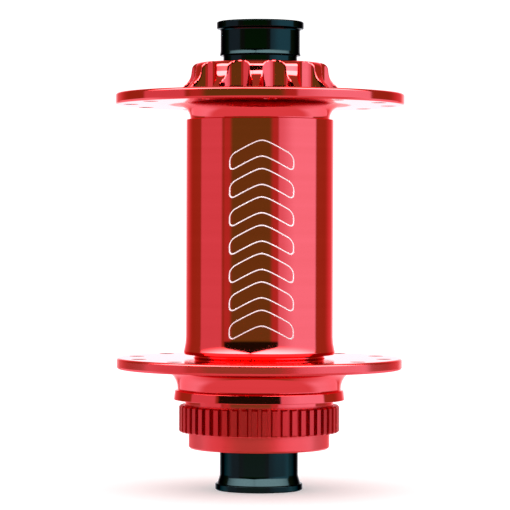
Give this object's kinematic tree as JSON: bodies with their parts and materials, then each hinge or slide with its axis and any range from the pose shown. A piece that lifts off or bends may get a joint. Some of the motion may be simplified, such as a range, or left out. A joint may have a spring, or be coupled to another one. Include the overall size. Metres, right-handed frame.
{
  "type": "bicycle front disc hub",
  "caption": "Front disc-brake bicycle hub: anodised shell with fluted collar, spoke flanges and splined disc mount, turning on sealed bearings about a hollow axle with push-on end caps.",
  "frame": {"origin": "on the hub's axis, midway between the two end faces that sit in the fork ends", "axes": "+Z along the axis towards the plain (right) side, -Z towards the disc (left) side; one collar land faces -Y"},
  "size_m": [0.0618, 0.0618, 0.1],
  "materials": {
    "red_anodised": "bright red anodised, mirror turned",
    "black_anodised": "black anodised, satin turned",
    "raw_aluminium": "bare turned aluminium",
    "bearing_steel": "ground and polished steel",
    "pressed_steel": "pressed steel",
    "seal_rubber": "black nitrile, matt"
  },
  "bodies": {
    "axle": {"axle_tube": "raw_aluminium", "right_end_cap": "black_anodised", "left_end_cap": "black_anodised", "right_cap_o_ring": "seal_rubber", "left_cap_o_ring": "seal_rubber", "right_spacer_ring": "raw_aluminium", "left_spacer_ring": "raw_aluminium", "right_bearing_inner_race": "bearing_steel", "left_bearing_inner_race": "bearing_steel"},
    "shell": {"hub_shell": "red_anodised", "right_dust_seal": "seal_rubber", "left_dust_seal": "seal_rubber", "right_bearing_outer_race": "bearing_steel", "right_bearing_upper_seal": "seal_rubber", "right_bearing_lower_seal": "seal_rubber", "left_bearing_outer_race": "bearing_steel", "left_bearing_upper_seal": "seal_rubber", "left_bearing_lower_seal": "seal_rubber"},
    "right_ball_set": {"right_bearing_balls": "bearing_steel", "right_bearing_cage": "pressed_steel"},
    "left_ball_set": {"left_bearing_balls": "bearing_steel", "left_bearing_cage": "pressed_steel"}
  },
  "joints": [
    {"name": "hub_spin", "type": "hinge", "parent": "axle", "child": "shell", "pos_m": [0, 0, 0], "axis": [0, 0, 1], "continuous": true},
    {"name": "right_ball_set_spin", "type": "hinge", "parent": "axle", "child": "right_ball_set", "pos_m": [0, 0, 0.0358], "axis": [0, 0, 1], "continuous": true},
    {"name": "left_ball_set_spin", "type": "hinge", "parent": "axle", "child": "left_ball_set", "pos_m": [0, 0, -0.032], "axis": [0, 0, 1], "continuous": true}
  ],
  "couplings": [
    {"joint": "right_ball_set_spin", "follows": "hub_spin", "ratio": 0.56},
    {"joint": "left_ball_set_spin", "follows": "hub_spin", "ratio": 0.56}
  ]
}
